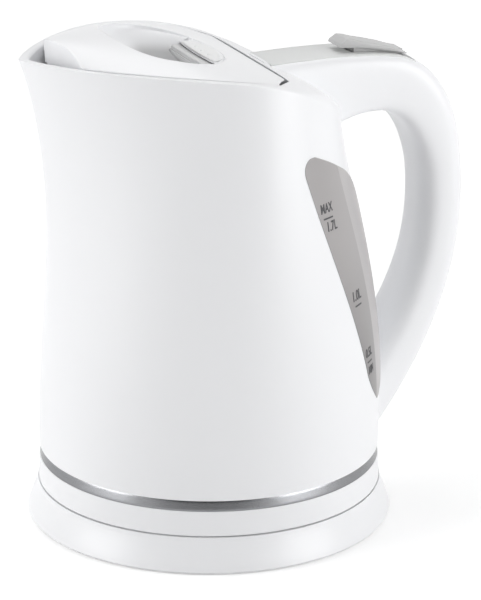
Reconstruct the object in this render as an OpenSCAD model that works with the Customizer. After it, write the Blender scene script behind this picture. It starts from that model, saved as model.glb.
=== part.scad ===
// Cordless electric kettle on a round power base.
// The origin is on the kettle's upright axis, on the surface that the base stands on.
// The spout points to -X, the handle to +X, and Z is up. All sizes are in millimetres.

/* [Jug] */
// Radius of the jug at its trim ring
ring_r = 80; // [76:0.5:84]
// Height of the spout's rim above the table
rim_z = 224.4; // [214.4:1:230.4]
// Half width of the jug at its rim
rim_half_w = 67.6; // [66:0.2:69]
// Reach of the rim from the axis to the tip of the spout
spout_reach = 90; // [88:0.5:92]
// Reach of the jug's rear wall from the axis at the rim
rear_reach = 57; // [55:0.5:59]
// Thickness of the jug's wall
wall = 3; // [2.6:0.1:3.4]
// Drop of the rim from the spout to the lid's hinge
rim_drop = 7.6; // [7:0.1:8.2]
// Further drop of the shoulder from the lid to the rear wall
shoulder_drop = 12; // [10:0.5:14]

/* [Handle] */
// Reach of the handle's back from the axis
handle_reach = 126; // [122:0.5:128]
// Width of the handle's grip
grip_w = 32; // [30:0.5:34]
// Thickness of the grip from its inner face to its back
grip_t = 22; // [20:0.5:23]
// Height of the finger gap's top above the table
gap_top_z = 187.9; // [186.4:0.5:189.4]
// Thickness of the panel let into the handle's top
panel_t = 1.6; // [1.4:0.1:2]

/* [Lid] */
// Rise of the lid's crown above the rim
crown = 9; // [8:0.5:10]
// Gap around the lid at the front and sides
lid_gap = 0.6; // [0.5:0.1:0.8]
// Length of the finger well, front to back
well_l = 58; // [56:0.5:59]
// Width of the finger well, side to side
well_w = 84; // [80:1:86]
// Depth of the finger well
well_d = 13.4; // [13:0.1:13.5]
// Radius of the hinge pin
pin_r = 1.2; // [1.1:0.05:1.3]
// Travel of the latch
latch_travel = 3.5; // [3:0.1:3.5]

/* [Base] */
// Largest radius of the power base
base_r = 86; // [85.6:0.2:88]
// Height of the power base's rim
base_h = 16.4; // [16:0.1:16.4]
// Radius of the round socket tower
tower_r = 13.5; // [13:0.1:14]
// Radius of the kettle's round connector
connector_r = 18; // [17.6:0.1:18.4]
// Radius of the power cord that the outlet takes
cord_r = 3.2; // [3:0.1:3.5]

/* [Fits] */
// Gap between parts that slide or turn past each other
gap = 0.3; // [0.25:0.05:0.35]
// Clearance of a pin in its bore, on the radius
pin_gap = 0.05; // [0.03:0.01:0.08]

/* [Hidden] */
$fn = 96;
eps = 0.01;
shell_white = "whitesmoke";
soft_grey = "lightgray";
dark_grey = "dimgray";

// Heights of the stack from the table up
foot_h = 1.6;
cover_top_z = 4;
plateau_r = 74;
plateau_h = 3.2;
seat_gap = 0.7;
skirt_z = base_h + seat_gap;
skirt_floor_z = 21.4;
skirt_floor_t = 2.4;
ring_z = 28.6;
ring_h = 5.2;
jug_z = ring_z + ring_h;
connector_z = skirt_floor_z + 0.4;
tower_top_z = 30.4;
connector_top_z = 35.4;
bore_top_z = 47.4;
bore_gap = 0.1;
bore_r = ring_r - 2.7;
ledge_h = 3;
ledge_w = 2.2;
chamber_z = bore_top_z + ledge_h;
collar_top_z = 43.2;

// ---- Curves of the jug ------------------------------------------------

function mix(a, b, t) = a + (b - a) * t;
function clamp01(t) = min(1, max(0, t));
function smooth(t) = clamp01(t) * clamp01(t) * (3 - 2 * clamp01(t));

// Point at t on a Bezier curve, for numbers or for points
function bezier(p, t) = len(p) == 1
    ? p[0]
    : bezier([for (i = [0 : len(p) - 2]) mix(p[i], p[i + 1], t)], t);

// The jug's half width, rear reach and front reach all run from the ring to the rim
width_curve = [ring_r, ring_r * 1.02, ring_r * 0.98, ring_r * 0.9125, rim_half_w];
rear_curve = [ring_r, ring_r * 1.006, ring_r * 0.995, ring_r * 0.64, rear_reach];
front_curve = [ring_r, ring_r, ring_r * 0.963, ring_r * 0.92, spout_reach];

function rise(z) = (z - jug_z) / (rim_z - jug_z);

// Point of the jug's section at height z. The front half sharpens into the spout
// with height, and inset moves the section inwards by a wall's thickness.
function jug_point(a, z, inset = 0) =
    let (
        s = rise(z),
        b = smooth(s),
        half_w = bezier(width_curve, s) - inset,
        rear = bezier(rear_curve, s) - inset,
        front = bezier(front_curve, s) - inset * (1 + 0.6 * b),
        m = 2 + 0.07 * b,
        n = 0.5 + 0.35 * b,
        c = cos(a),
        side = sin(a) < 0 ? -1 : 1
    )
    c >= 0
        ? [rear * c, half_w * sin(a)]
        : [front * c, side * half_w * pow(max(0, 1 - pow(-c, m)), n)];

// Height of the rim along the jug, level over the spout and falling to the hinge
rim_fall_x = -55;
hinge_x = 16.3;
hinge_drop = 2.4;
function rim_height(x) =
    rim_z - rim_drop * pow(max(0, x - rim_fall_x) / (hinge_x - rim_fall_x), 2);
hinge_z = rim_z - rim_drop - hinge_drop;

// The lid's opening: the rim's own leaf shape in front, square with round corners behind
open_x = -5;
open_front = spout_reach - 8.5;
open_rear = 26;
open_half_w = rim_half_w - 6;
leaf_power = 2.07;
leaf_end = 0.85;
rear_power = 5;
seam_x = open_x + open_rear;
corner_y = 46;

// How far back the opening reaches at y, with its corners cut off
function rear_limit(y) = seam_x - 0.75 * max(0, abs(y) - corner_y);

// Forward reach of the opening from its middle, which the spout's wall limits lower down
function mouth_reach(z) =
    min(open_front, bezier(front_curve, rise(min(z, rim_z))) - 1.6 * wall + open_x);

// Outline of the opening seen from above, moved inwards at the sides and at the rear
function open_point(a, side_inset = 0, rear_inset = 0, reach = open_front) =
    let (
        c = cos(a),
        side = sin(a) < 0 ? -1 : 1,
        half_w = open_half_w - side_inset,
        k = pow(pow(abs(c), rear_power) + pow(abs(sin(a)), rear_power), -1 / rear_power),
        x = c >= 0 ? (open_rear - rear_inset) * c * k : (reach - 1.5 * side_inset) * c,
        y = c >= 0
            ? half_w * sin(a) * k
            : side * half_w * pow(max(0, 1 - pow(-c, leaf_power)), leaf_end)
    )
    [min(open_x + x, rear_limit(y) - rear_inset), y];
function open_width(x) = x > open_x
    ? open_half_w * pow(max(0, 1 - pow((x - open_x) / open_rear, rear_power)), 1 / rear_power)
    : open_half_w * pow(max(0, 1 - pow((open_x - x) / open_front, leaf_power)), leaf_end);

// Outer edge of the shoulder: the rim itself in front and the wall's top behind
function shoulder_z(x) = rim_height(x) - shoulder_drop * pow(max(0, x + 5) / 62, 1.6);
function wall_top(a) = shoulder_z(jug_point(a, rim_z - 10)[0]);

columns = 60;
angles = [for (i = [0 : columns - 1]) i * 360 / columns];
wall_steps = 20;
shoulder_steps = 5;

function wall_ring(k) = [for (a = angles)
    let (z = mix(jug_z, wall_top(a), k / wall_steps), p = jug_point(a, z))
    [p[0], p[1], z]];

function shoulder_ring(k) = [for (a = angles)
    let (
        z1 = wall_top(a),
        p1 = jug_point(a, z1),
        p2 = open_point(a),
        z2 = rim_height(p2[0]),
        t = 90 * k / shoulder_steps,
        bend = 1 + 0.65 * clamp01(p1[0] / rear_reach),
        u = 1 - pow(cos(t), bend),
        v = pow(sin(t), bend)
    )
    [mix(p1[0], p2[0], u), mix(p1[1], p2[1], u), mix(z1, z2, v)]];

// A closed solid through a stack of rings that have the same number of points, with its
// ends closed by fans to their middles
function centre(ring) = [for (j = [0 : 2]) sum([for (p = ring) p[j]]) / len(ring)];
function sum(v, i = 0) = i == len(v) ? 0 : v[i] + sum(v, i + 1);
module loft(rings) {
    n = len(rings[0]);
    last = len(rings) - 1;
    points = concat([for (r = rings) each r], [centre(rings[0]), centre(rings[last])]);
    low = len(points) - 2;
    high = len(points) - 1;
    sides = [for (k = [0 : last - 1]) for (i = [0 : n - 1])
        let (a = k * n + i, b = k * n + (i + 1) % n)
        each [[a, b + n, b], [a, a + n, b + n]]];
    ends = [for (i = [0 : n - 1])
        let (j = (i + 1) % n)
        each [[low, i, j], [high, last * n + j, last * n + i]]];
    polyhedron(points, concat(sides, ends), convexity = 8);
}

module jug_outside() {
    loft(concat(
        [for (k = [0 : wall_steps]) wall_ring(k)],
        [for (k = [1 : shoulder_steps]) shoulder_ring(k)]
    ));
}

// Water space: follows the wall up to the neck, then draws in to the lid's opening
neck_depth = 30;
lip_depth = 15;
chamber_steps = 11;
function chamber_ring(k) = [for (a = angles)
    let (
        p2 = open_point(a),
        z_top = min(wall_top(a), rim_height(p2[0])) - neck_depth,
        z = mix(chamber_z, z_top, k / chamber_steps),
        p = jug_point(a, z, wall)
    )
    [p[0], p[1], z]];
function mouth_ring(depth) = [for (a = angles)
    let (p = open_point(a, 0, 0, mouth_reach(rim_z - depth)))
    [p[0], p[1], rim_height(p[0]) - depth]];
module jug_chamber() {
    loft(concat(
        [for (k = [0 : chamber_steps]) chamber_ring(k)],
        [for (depth = [lip_depth, lip_depth / 2, 0, -12]) mouth_ring(depth)]
    ));
}

// ---- Curves of the handle ---------------------------------------------

// Each side of the loop is three Bezier pieces in the XZ plane
handle_back = [
    [[seam_x + 2.4, rim_z - 9], [48, rim_z - 7.6], [72, rim_z - 7.2], [90, rim_z - 10.5]],
    [[90, rim_z - 10.5], [handle_reach - 12, rim_z - 17], [handle_reach - 1, rim_z - 42],
        [handle_reach - 1, rim_z - 80]],
    [[handle_reach - 1, rim_z - 80], [handle_reach - 1, 112.4], [handle_reach - 11, 74.4], [80, 30.4]]
];
inner_x = handle_reach - 1 - grip_t;
handle_inner = [
    [[30, gap_top_z - 24], [50, gap_top_z - 7], [64, gap_top_z], [78, gap_top_z]],
    [[78, gap_top_z], [inner_x - 8, gap_top_z], [inner_x, gap_top_z - 19], [inner_x, gap_top_z - 45]],
    [[inner_x, gap_top_z - 45], [inner_x, 118.4], [inner_x - 6, 94.4], [68, 56.4]]
];
function along(chain, t) =
    let (i = max(0, min(len(chain) - 1, floor(t))))
    bezier(chain[i], t - i);

grip_half = grip_w / 2;
function handle_half_w(t) = grip_half + (t < 1 ? 1.5 * (1 - t) : t > 2 ? 4 * pow(t - 2, 2) : 0);
function handle_power(t) = mix(5.5, 2.8, clamp01((t - 1) / 0.8));

handle_sides = 28;
handle_steps = 30;
function handle_ring(t) =
    let (
        p = along(handle_inner, t),
        q = along(handle_back, t),
        mid = (p + q) / 2,
        arm = (q - p) / 2,
        e = 2 / handle_power(t),
        b = handle_half_w(t)
    )
    [for (i = [0 : handle_sides - 1])
        let (
            a = i * 360 / handle_sides,
            c = cos(a),
            s = sin(a),
            u = sign(c) * pow(abs(c), e),
            v = sign(s) * pow(abs(s), e)
        )
        [mid[0] + arm[0] * u, -b * v, mid[1] + arm[1] * u]];
module handle_loop() {
    loft([for (k = [0 : handle_steps]) handle_ring(3 * k / handle_steps)]);
}

// A strip that follows one side of the loop, from t1 to t2 along it and from depth
// low to depth high across it, and reaches half_w to each side
function square_to(chain, t) =
    let (a = along(chain, t - 0.01), b = along(chain, t + 0.01), d = b - a)
    [-d[1], d[0]] / norm(d);
module strip(chain, t1, t2, low, high, half_w) {
    steps = 14;
    line = [for (k = [0 : steps]) mix(t1, t2, k / steps)];
    rotate([90, 0, 0])
        linear_extrude(2 * half_w, center = true)
            polygon(concat(
                [for (t = line) along(chain, t) + high * square_to(chain, t)],
                [for (k = [steps : -1 : 0])
                    along(chain, line[k]) + low * square_to(chain, line[k])]
            ));
}
panel_sink = 0.5;
panel_half_w = grip_half - 3;
panel_start = 0.02;
panel_end = 1.12;

// ---- Water gauge ------------------------------------------------------

gauge_low_z = 59.9;
gauge_high_z = 185.4;
gauge_rows = 18;
gauge_columns = 6;
function gauge_left_angle(s) =
    -39.9 - 33.9 * s + 6 * pow(1 - min(1, s / 0.14), 2) + 5.5 * pow(max(0, (s - 0.95) / 0.05), 2);
function gauge_right_angle(s) =
    -33 + 10 * sin(90 * min(1, s / 0.25)) - 42 * pow(max(0, (s - 0.6) / 0.4), 2.85);

// A teardrop plate bent round the jug, from depth low to depth high below its skin
module gauge_plate(low, high, grow) {
    rows = [for (k = [0 : gauge_rows])
        let (
            s = (1 - cos(180 * k / gauge_rows)) / 2,
            z = mix(gauge_low_z - grow, gauge_high_z + grow, s),
            a1 = gauge_left_angle(s) - grow * 0.75,
            a2 = gauge_right_angle(s) + grow * 0.75,
            outer = [for (i = [0 : gauge_columns])
                let (p = jug_point(mix(a1, a2, i / gauge_columns), z, high))
                [p[0], p[1], z]],
            inner = [for (i = [gauge_columns : -1 : 0])
                let (p = jug_point(mix(a1, a2, i / gauge_columns), z, low))
                [p[0], p[1], z]]
        )
        concat(outer, inner)];
    loft(rows);
}

// ---- Lid --------------------------------------------------------------

// The lid's front is a blunt rounded bow, and its rear corners are cut off further than
// the opening's, so that they clear the jug as the lid swings up
bow_x = -78.3;
bow_round = 9.5;
bow_spread = 10;
function bow_limit(y, bow) = bow + bow_round * (1 - exp(-abs(y) / bow_spread));
rear_gap = 1;
rear_x = 18.6;
function lid_point(a, inset, rear_inset, bow = bow_x, reach = open_front) =
    let (
        p = open_point(a, inset, rear_inset, reach),
        limit = rear_x - 0.9 * max(0, abs(p[1]) - corner_y + 4) - rear_inset + rear_gap
    )
    [min(max(p[0], bow_limit(p[1], bow)), limit), p[1]];

// Crown of the lid: an arch from side to side that fades to the hinge
function crown_height(x) = (crown - 0.5) * pow(clamp01((hinge_x - x) / 46), 1.2);
function lid_surface(x, y) =
    rim_height(x) + crown_height(x) * max(0, 1 - pow(y / max(1, open_width(x)), 2));

skin_t = 2.2;
skin_rings = 8;
lid_centre_x = -25;
function lid_ring(f, drop, inset, rear_inset, bow) = [for (a = angles)
    let (
        p = lid_point(a, inset, rear_inset, bow),
        x = mix(lid_centre_x, p[0], f),
        y = p[1] * f
    )
    [x, y, lid_surface(x, y) - drop]];
function ring_share(k) = 0.04 + 0.96 * (1 - pow(1 - k / skin_rings, 1.5));
function lid_foot() = [for (a = angles)
    let (p = lid_point(a, lid_gap + 1.2, rear_gap + 0.6, bow_x + 0.8))
    [p[0], p[1], rim_height(p[0]) - skin_t]];
module lid_skin() {
    loft(concat(
        [for (k = [0 : 2 : skin_rings - 2])
            lid_ring(ring_share(k), skin_t, lid_gap + 1.6, rear_gap + 0.6, bow_x + 1.5)],
        [lid_foot()],
        [for (k = [skin_rings : -1 : 0]) lid_ring(ring_share(k), 0, lid_gap, rear_gap, bow_x)]
    ));
}

// Upright-sided body inside the lid's outline, between two flat levels or up to the skin
function lid_level(z, inset, rear_inset, bow) = [for (a = angles)
    let (p = lid_point(a, inset, rear_inset, bow, mouth_reach(z))) [p[0], p[1], z]];
module lid_body(z1, z2, inset, rear_inset, bow = bow_x) {
    loft([lid_level(z1, inset, rear_inset, bow), lid_level(z2, inset, rear_inset, bow)]);
}
module lid_body_to_skin(z1, drop, inset, rear_inset, bow = bow_x) {
    loft([
        lid_level(z1, inset, rear_inset, bow + 2),
        lid_ring(1, drop, inset, rear_inset, bow),
        lid_ring(0.6, drop, inset, rear_inset, bow),
        lid_ring(0.2, drop, inset, rear_inset, bow)
    ]);
}

// Finger well: half of an ellipsoid sunk in the crown
well_x = -20;
well_z = rim_z + 4.5;
module well(grow) {
    translate([well_x, 0, well_z])
        scale([well_l / 2 + grow, well_w / 2 + grow, well_d + grow])
            sphere(r = 1, $fn = 40);
}

skirt_inset = 4;
skirt_wall = 1.8;
lid_low_z = 205.9;
lid_flange_t = 1.7;
seal_t = 1.8;
lid_skirt_z = lid_low_z + lid_flange_t + seal_t;
inner_top_z = 210.4;
lid_back_x = 11;
slide_gap = 0.1;
slider_t = 2.4;
slider_half_w = 6;
slider_front_x = bow_limit(slider_half_w, bow_x) + 1;
tab_x = well_x + 9.1;
tab_l = 5.3;
tab_half_w = 22;
tab_top_z = well_z - 9.4;
rest_edge_x = tab_x + 4.2;
rest_edge_r = 220;
rest_slope = 3;
knuckle_half = 13.6;
ear_t = 4.6;
ear_r = 2;

// Thumb rest behind the latch: a sloped step with a bowed front edge
module behind_edge(low, high) {
    difference() {
        translate([rest_edge_x, -40, low]) cube([30, 80, high - low]);
        translate([rest_edge_x + rest_edge_r, 0, low - 1])
            difference() {
                translate([-rest_edge_r - 1, -50, 0]) cube([rest_edge_r + 1, 100, high - low + 2]);
                cylinder(r = rest_edge_r, h = high - low + 2, $fn = 360);
            }
    }
}
module rest_layer(low, high) {
    translate([rest_edge_x, 0, tab_top_z + gap])
        rotate([0, -rest_slope, 0])
            translate([-5, -50, low]) cube([40, 100, high - low]);
}

module behind_hinge(reach_y) {
    translate([lid_back_x, -reach_y, lid_low_z - 10])
        cube([30, 2 * reach_y, hinge_z - lid_low_z + 10]);
}

module lid_shell() {
    color(shell_white)
        difference() {
            union() {
                difference() {
                    union() {
                        lid_skin();
                        difference() {
                            lid_body_to_skin(lid_skirt_z, 0.8, skirt_inset, skirt_inset + rear_gap);
                            lid_body_to_skin(lid_skirt_z - 1, skin_t - 0.3, skirt_inset + skirt_wall,
                                skirt_inset + rear_gap + skirt_wall, bow_x + 2.4);
                        }
                    }
                    behind_hinge(80);
                }
                intersection() {
                    well(1.8);
                    lid_body_to_skin(lid_skirt_z, 0.4, skirt_inset, skirt_inset + rear_gap);
                }
                translate([hinge_x, 0, hinge_z])
                    rotate([90, 0, 0])
                        cylinder(r = hinge_drop - 0.2, h = 2 * knuckle_half, center = true);
            }
            difference() {
                well(0);
                intersection() {
                    behind_edge(well_z - well_d, well_z);
                    rest_layer(-14, 1);
                }
            }
            translate([hinge_x, 0, hinge_z])
                rotate([90, 0, 0])
                    cylinder(r = pin_r + pin_gap, h = 2 * knuckle_half + 2, center = true);
            for (side = [-1, 1])
                translate([hinge_x, side * (knuckle_half + gap + ear_t / 2), hinge_z])
                    rotate([90, 0, 0])
                        cylinder(r = ear_r + gap, h = ear_t + 2 * gap, center = true);
            translate([tab_x - gap, -tab_half_w - gap, lid_skirt_z])
                cube([tab_l + latch_travel + 2 * gap, 2 * (tab_half_w + gap), tab_top_z + gap - lid_skirt_z]);
            translate([bow_x - 1, -slider_half_w - gap, inner_top_z])
                cube([14, 2 * (slider_half_w + gap), slider_t + 2 * gap]);
        }
}

module lid_inner() {
    color(shell_white)
        difference() {
            union() {
                lid_body(lid_low_z, inner_top_z, skirt_inset + skirt_wall + 0.2,
                    skirt_inset + rear_gap + skirt_wall + 0.2, bow_x + 4.8);
                lid_body(lid_low_z, lid_low_z + lid_flange_t, 2.4, 6, bow_x + 2);
            }
            behind_hinge(80);
        }
}

module lid_seal() {
    color(soft_grey)
        difference() {
            lid_body(lid_low_z + lid_flange_t, lid_skirt_z, 1.6, 6, bow_x + 1.4);
            lid_body(lid_low_z, lid_skirt_z + 1, skirt_inset + skirt_wall + 0.2,
                skirt_inset + rear_gap + skirt_wall + 0.2, bow_x + 4.8);
            behind_hinge(80);
        }
}

module lid_latch() {
    slider_z = inner_top_z + slide_gap;
    wide_z = slider_z + 3.2;
    color(soft_grey)
        difference() {
            union() {
                translate([slider_front_x, -slider_half_w, slider_z])
                    cube([tab_x + tab_l - slider_front_x, 2 * slider_half_w, slider_t]);
                translate([tab_x, -slider_half_w, slider_z])
                    cube([tab_l, 2 * slider_half_w, 6]);
                translate([tab_x, -tab_half_w, wide_z])
                    cube([tab_l, 2 * tab_half_w, tab_top_z - wide_z]);
            }
            translate([tab_x - 5.2, 0, tab_top_z])
                rotate([90, 0, 0]) cylinder(r = 6, h = 60, center = true);
        }
}

// Ribbed plate let into the thumb rest
rest_plate_half_w = 15;
module lid_rest() {
    color(soft_grey)
        intersection() {
            rest_layer(1, 1.8);
            translate([rest_edge_x + 1.5, -rest_plate_half_w, tab_top_z])
                cube([4.2, 2 * rest_plate_half_w, 10]);
        }
}

// ---- Power base -------------------------------------------------------

module ring_shape(points) {
    rotate_extrude() polygon(points);
}

// Three places round a circle
module three(r, first = 30) {
    for (a = [first, first + 120, first + 240])
        rotate([0, 0, a]) translate([r, 0, 0]) children();
}

base_lip_r = ring_r + 1;
base_wall = 2.2;
base_side = [for (t = [0 : 0.125 : 1])
    bezier([[base_r, 1.6], [base_r - 1.4, 6.6], [base_lip_r + 1, 11], [base_lip_r, base_h]], t)];
plateau_top = base_h + plateau_h;
socket_hole_r = tower_r + 2;
cord_angle = 68;
cord_z = 8.4;
gland_r = cord_r + 1.4;
base_post_r = 56;
bolt_r = 1.3;
bolt_head_r = 2.7;
// The cover plate fits inside the shell, whose inner side leans in with height
plate_r = mix(base_r - 3, base_lip_r - base_wall, (cover_top_z - 0.6) / (base_h - base_wall - 0.6))
    - gap - pin_gap;

module base_shell() {
    color(shell_white)
        difference() {
            union() {
                ring_shape(concat(
                    [[base_r - 3, 0.6], [base_r - 0.8, 0.6]],
                    base_side,
                    [
                        [plateau_r + 1.2, base_h], [plateau_r, plateau_top - 1],
                        [plateau_r - 1, plateau_top], [socket_hole_r, plateau_top],
                        [socket_hole_r, plateau_top - base_wall],
                        [plateau_r - base_wall, plateau_top - base_wall],
                        [plateau_r - base_wall, base_h - base_wall],
                        [base_lip_r - base_wall, base_h - base_wall]
                    ]
                ));
                three(base_post_r, 90)
                    translate([0, 0, cover_top_z])
                        cylinder(r = 3.5, h = plateau_top - base_wall - cover_top_z + eps, $fn = 48);
            }
            rotate([0, 0, cord_angle])
                translate([base_r - 15.2, 0, cord_z])
                    rotate([0, 90, 0]) cylinder(r = gland_r, h = 20);
            three(base_post_r, 90)
                translate([0, 0, cover_top_z - 1])
                    cylinder(r = bolt_r + pin_gap, h = 8, $fn = 48);
        }
}

module base_bottom() {
    color(shell_white)
        difference() {
            translate([0, 0, foot_h]) cylinder(r = plate_r, h = cover_top_z - foot_h);
            three(base_post_r, 90) {
                cylinder(r = bolt_r + 0.3, h = 6, $fn = 48);
                cylinder(r = bolt_head_r + 0.2, h = foot_h + 1, $fn = 48);
            }
            rotate([0, 0, cord_angle])
                translate([base_r - 18, 0, cord_z])
                    rotate([0, 90, 0]) cylinder(r = gland_r + 1.2, h = 20);
        }
}

foot_r = base_r - 18;
foot_w = 7;
module foot_ring() {
    color(dark_grey)
        difference() {
            cylinder(r = foot_r, h = foot_h);
            translate([0, 0, -1]) cylinder(r = foot_r - foot_w, h = foot_h + 2);
        }
}

module base_screws() {
    color("silver")
        three(base_post_r, 90) {
            translate([0, 0, foot_h + 0.2]) cylinder(r = bolt_head_r, h = 0.8, $fn = 48);
            translate([0, 0, foot_h + 1]) cylinder(r = bolt_r, h = 8, $fn = 48);
        }
}

groove_r = tower_r * 0.68;
groove_half = 1.2;
groove_floor_z = 20.4;
pin_hole_r = 2.4;
module base_socket() {
    color(soft_grey)
        difference() {
            union() {
                translate([0, 0, cover_top_z]) cylinder(r = tower_r, h = tower_top_z - cover_top_z);
                translate([0, 0, plateau_top - base_wall - 2.6]) cylinder(r = tower_r + 6.5, h = 2.6);
            }
            translate([0, 0, groove_floor_z]) {
                cylinder(r = pin_hole_r, h = 20, $fn = 48);
                difference() {
                    cylinder(r = groove_r + groove_half, h = 20);
                    translate([0, 0, -1]) cylinder(r = groove_r - groove_half, h = 22);
                }
            }
        }
}

contact_gap = 0.4;
contact_tip_z = groove_floor_z + 2.6;
module base_contacts() {
    height = contact_tip_z - contact_gap - groove_floor_z;
    color("goldenrod")
        translate([0, 0, groove_floor_z]) {
            cylinder(r = pin_hole_r - 0.1, h = height, $fn = 48);
            difference() {
                cylinder(r = groove_r + groove_half - 0.1, h = height);
                translate([0, 0, -1]) cylinder(r = groove_r - groove_half + 0.1, h = height + 2);
            }
        }
}

module cord_outlet() {
    color(dark_grey)
        rotate([0, 0, cord_angle])
            translate([0, 0, cord_z])
                rotate([0, 90, 0])
                    difference() {
                        union() {
                            translate([0, 0, base_r - 17])
                                cylinder(r = gland_r - pin_gap, h = 15.4);
                            translate([0, 0, base_r - 17])
                                cylinder(r = gland_r + 0.8, h = 2);
                        }
                        cylinder(r = cord_r + pin_gap, h = 100);
                    }
}

// ---- Round connector under the kettle ---------------------------------

pin_contact_r = 1.6;
blade_half = 0.6;
module connector_bores() {
    cylinder(r = pin_contact_r, h = 3, $fn = 48);
    difference() {
        cylinder(r = groove_r + blade_half, h = 3);
        translate([0, 0, -1]) cylinder(r = groove_r - blade_half, h = 5);
    }
}
module kettle_connector() {
    color(soft_grey)
        difference() {
            translate([0, 0, connector_z]) cylinder(r = connector_r, h = connector_top_z - connector_z);
            cylinder(r = tower_r + gap, h = tower_top_z);
            translate([0, 0, tower_top_z - eps]) connector_bores();
        }
}
module connector_contacts() {
    height = tower_top_z + 3 - eps - contact_tip_z;
    color("goldenrod")
        translate([0, 0, contact_tip_z]) {
            cylinder(r = pin_contact_r, h = height, $fn = 48);
            difference() {
                cylinder(r = groove_r + blade_half, h = height);
                translate([0, 0, -1]) cylinder(r = groove_r - blade_half, h = height + 2);
            }
        }
}

// ---- Kettle's underside -----------------------------------------------

collar_r = bore_r - bore_gap;
collar_wall = 2.8;
skirt_wall_t = 2.4;
stud_circle_r = 66;
stud_r = 3.2;
plate_z = 45.4;
plate_thick = 0.9;
plate_edge_r = bore_r - 3.8;
screw_head_h = 1.2;
skirt_top_z = skirt_floor_z + skirt_floor_t;

module skirt() {
    color(shell_white)
        difference() {
            union() {
                ring_shape([
                    [ring_r - skirt_wall_t, skirt_z], [ring_r + 0.6, skirt_z], [ring_r, ring_z],
                    [collar_r, ring_z], [collar_r, collar_top_z],
                    [collar_r - collar_wall, collar_top_z], [collar_r - collar_wall, skirt_top_z],
                    [connector_r + gap, skirt_top_z], [connector_r + gap, skirt_floor_z],
                    [ring_r - skirt_wall_t, skirt_floor_z]
                ]);
                difference() {
                    translate([0, 0, skirt_floor_z]) cylinder(r = connector_r + gap + 2, h = 11);
                    cylinder(r = connector_r + gap, h = 60);
                }
            }
            three(stud_circle_r) {
                cylinder(r = bolt_r + 0.3, h = skirt_top_z + 1, $fn = 48);
                cylinder(r = bolt_head_r + 0.2, h = skirt_floor_z + screw_head_h, $fn = 48);
            }
        }
}

module trim_ring() {
    inner = collar_r + 0.05;
    outer = ring_r + 0.15;
    top = ring_z + ring_h;
    color("silver")
        ring_shape([
            [inner, ring_z], [outer, ring_z], [outer, top - 2], [outer - 0.5, top - 1.9],
            [outer - 0.5, top - 1.5], [outer, top - 1.4], [outer, top - 0.8],
            [outer - 0.7, top - 0.7], [outer - 0.7, top], [inner, top]
        ]);
}

module heater_plate() {
    color("silver")
        difference() {
            union() {
                translate([0, 0, plate_z]) cylinder(r = plate_edge_r, h = plate_thick);
                three(stud_circle_r)
                    translate([0, 0, skirt_top_z])
                        cylinder(r = stud_r, h = plate_z - skirt_top_z + eps, $fn = 48);
            }
            three(stud_circle_r)
                translate([0, 0, skirt_top_z - 1])
                    cylinder(r = bolt_r + pin_gap, h = 15, $fn = 48);
        }
}

module heater_seal() {
    color(soft_grey)
        ring_shape([
            [plate_edge_r - 2.2, collar_top_z], [collar_r, collar_top_z], [collar_r, bore_top_z],
            [plate_edge_r - 2.2, bore_top_z], [plate_edge_r - 2.2, plate_z + plate_thick],
            [plate_edge_r, plate_z + plate_thick], [plate_edge_r, plate_z],
            [plate_edge_r - 2.2, plate_z]
        ]);
}

element_r = 52;
element_half = 4;
module heater_element() {
    color("silver")
        rotate([0, 0, 25])
            rotate_extrude(angle = 310)
                translate([element_r, plate_z - element_half]) {
                    circle(r = element_half, $fn = 32);
                    translate([-element_half + 0.6, 0])
                        square([2 * element_half - 1.2, element_half]);
                }
}

control_r = 24;
module control_unit() {
    low = connector_top_z + gap;
    color(dark_grey) {
        translate([0, 0, low]) cylinder(r = control_r, h = 3);
        translate([-17, -12, low + 3 - eps]) cube([34, 24, plate_z - low - 3 + eps]);
    }
}

module skirt_screws() {
    color("silver")
        three(stud_circle_r) {
            translate([0, 0, skirt_floor_z]) cylinder(r = bolt_head_r, h = screw_head_h, $fn = 48);
            translate([0, 0, skirt_floor_z + screw_head_h - eps])
                cylinder(r = bolt_r, h = 12, $fn = 48);
        }
}

// ---- Pieces let into the jug ------------------------------------------

module gauge_right() {
    color("darkgray") gauge_plate(wall, 0, 0);
}
module gauge_left() {
    color("darkgray") mirror([0, 1, 0]) gauge_plate(wall, 0, 0);
}

filter_x = -69;
filter_t = 2.4;
filter_low_z = 168.4;
filter_high_z = lid_low_z - 1;
filter_edge = 3;
filter_rows = 6;
function side_reach(x, z, inset) =
    let (
        s = rise(z),
        b = smooth(s),
        front = bezier(front_curve, s) - inset * (1 + 0.6 * b),
        half_w = bezier(width_curve, s) - inset
    )
    half_w * pow(max(0, 1 - pow(-x / front, 2 + 0.07 * b)), 0.5 + 0.35 * b);
function filter_outline(x, edge) =
    let (
        rows = [for (k = [0 : filter_rows])
            mix(filter_low_z + edge, filter_high_z - edge, k / filter_rows)],
        reach = [for (z = rows) side_reach(filter_x, z, wall + 0.6) - edge]
    )
    concat(
        [for (k = [0 : filter_rows]) [x, reach[k], rows[k]]],
        [for (k = [filter_rows : -1 : 0]) [x, -reach[k], rows[k]]]
    );
module filter_slab(thick, edge) {
    middle = filter_x + filter_t / 2;
    loft([filter_outline(middle - thick / 2, edge), filter_outline(middle + thick / 2, edge)]);
}
module filter_frame() {
    color(soft_grey)
        difference() {
            filter_slab(filter_t, 0);
            filter_slab(filter_t + 2, filter_edge);
        }
}
module filter_mesh() {
    color(dark_grey)
        difference() {
            filter_slab(0.6, filter_edge);
            for (z = [filter_low_z + 6 : 4 : filter_high_z - 6])
                for (y = [-12 : 3 : 12])
                    translate([filter_x - 5, y - 1, z - 1.5]) cube([12, 2, 3]);
        }
}

// ---- Switch -----------------------------------------------------------

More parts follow.
